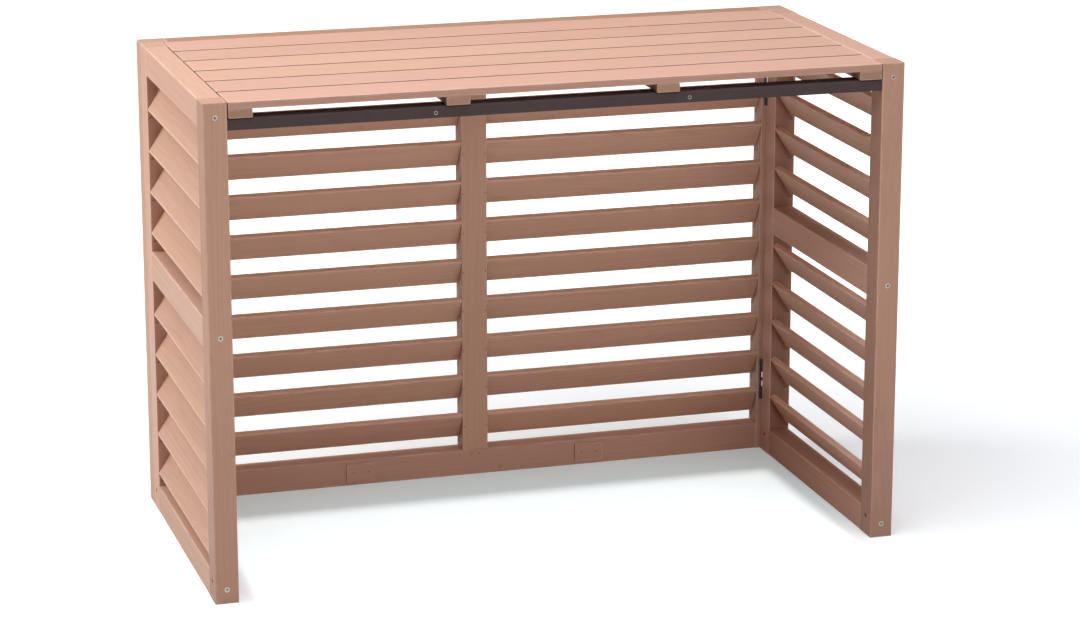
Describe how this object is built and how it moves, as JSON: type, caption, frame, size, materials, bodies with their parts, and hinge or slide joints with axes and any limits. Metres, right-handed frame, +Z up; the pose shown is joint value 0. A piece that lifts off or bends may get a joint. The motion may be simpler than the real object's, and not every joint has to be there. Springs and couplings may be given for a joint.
{
  "type": "air conditioner cover",
  "caption": "Louvred wooden cover for an outdoor air conditioner unit: slatted side panels on butt hinges, wide louvred panel and a lift-off board lid on a steel brace, open towards the wall.",
  "frame": {"origin": "centre of the footprint, on the floor", "axes": "+X across the cover to the right as seen from the open side, +Y from the open side to the wide louvred panel, +Z up"},
  "size_m": [1, 0.49, 0.7],
  "materials": {
    "frame_wood": "stained softwood, matt",
    "slat_wood": "stained softwood, matt",
    "lid_wood": "stained softwood, matt",
    "dowel_wood": "plain beech",
    "dark_steel": "dark brown powder coat",
    "zinc_steel": "zinc plated",
    "black_steel": "black, satin"
  },
  "bodies": {
    "frame": {"left_front_stile": "frame_wood", "left_rear_stile": "frame_wood", "left_top_rail": "frame_wood", "left_mid_rail": "frame_wood", "left_bottom_rail": "frame_wood", "left_upper_slats": "slat_wood", "left_lower_slats": "slat_wood", "right_front_stile": "frame_wood", "right_rear_stile": "frame_wood", "right_top_rail": "frame_wood", "right_mid_rail": "frame_wood", "right_bottom_rail": "frame_wood", "right_upper_slats": "slat_wood", "right_lower_slats": "slat_wood", "back_left_stile": "frame_wood", "back_centre_stile": "frame_wood", "back_right_stile": "frame_wood", "back_top_rail": "frame_wood", "back_bottom_rail": "frame_wood", "back_left_slats": "slat_wood", "back_right_slats": "slat_wood", "back_ledger": "frame_wood", "rail_pads": "frame_wood", "front_brace": "dark_steel", "brace_end_plates": "zinc_steel", "left_lower_hinge_side_leaf": "black_steel", "left_lower_hinge_back_leaf": "black_steel", "left_lower_hinge_pin": "zinc_steel", "left_upper_hinge_side_leaf": "black_steel", "left_upper_hinge_back_leaf": "black_steel", "left_upper_hinge_pin": "zinc_steel", "right_lower_hinge_side_leaf": "black_steel", "right_lower_hinge_back_leaf": "black_steel", "right_lower_hinge_pin": "zinc_steel", "right_upper_hinge_side_leaf": "black_steel", "right_upper_hinge_back_leaf": "black_steel", "right_upper_hinge_pin": "zinc_steel", "front_stile_screws": "zinc_steel", "rear_stile_screws": "zinc_steel", "hinge_screws": "black_steel", "ledger_screws": "zinc_steel", "brace_screws": "zinc_steel", "corner_dowels": "dowel_wood", "brads": "zinc_steel"},
    "lid": {"top_board_1": "lid_wood", "top_board_2": "lid_wood", "top_board_3": "lid_wood", "top_board_4": "lid_wood", "top_board_5": "lid_wood", "top_board_6": "lid_wood", "top_batten_1": "frame_wood", "top_batten_2": "frame_wood", "top_batten_3": "frame_wood", "top_batten_4": "frame_wood", "lid_screws": "zinc_steel"}
  },
  "joints": [
    {"name": "lid_lift", "type": "slide", "parent": "frame", "child": "lid", "axis": [0, 0, 1], "range_m": [0, 0.12]}
  ]
}
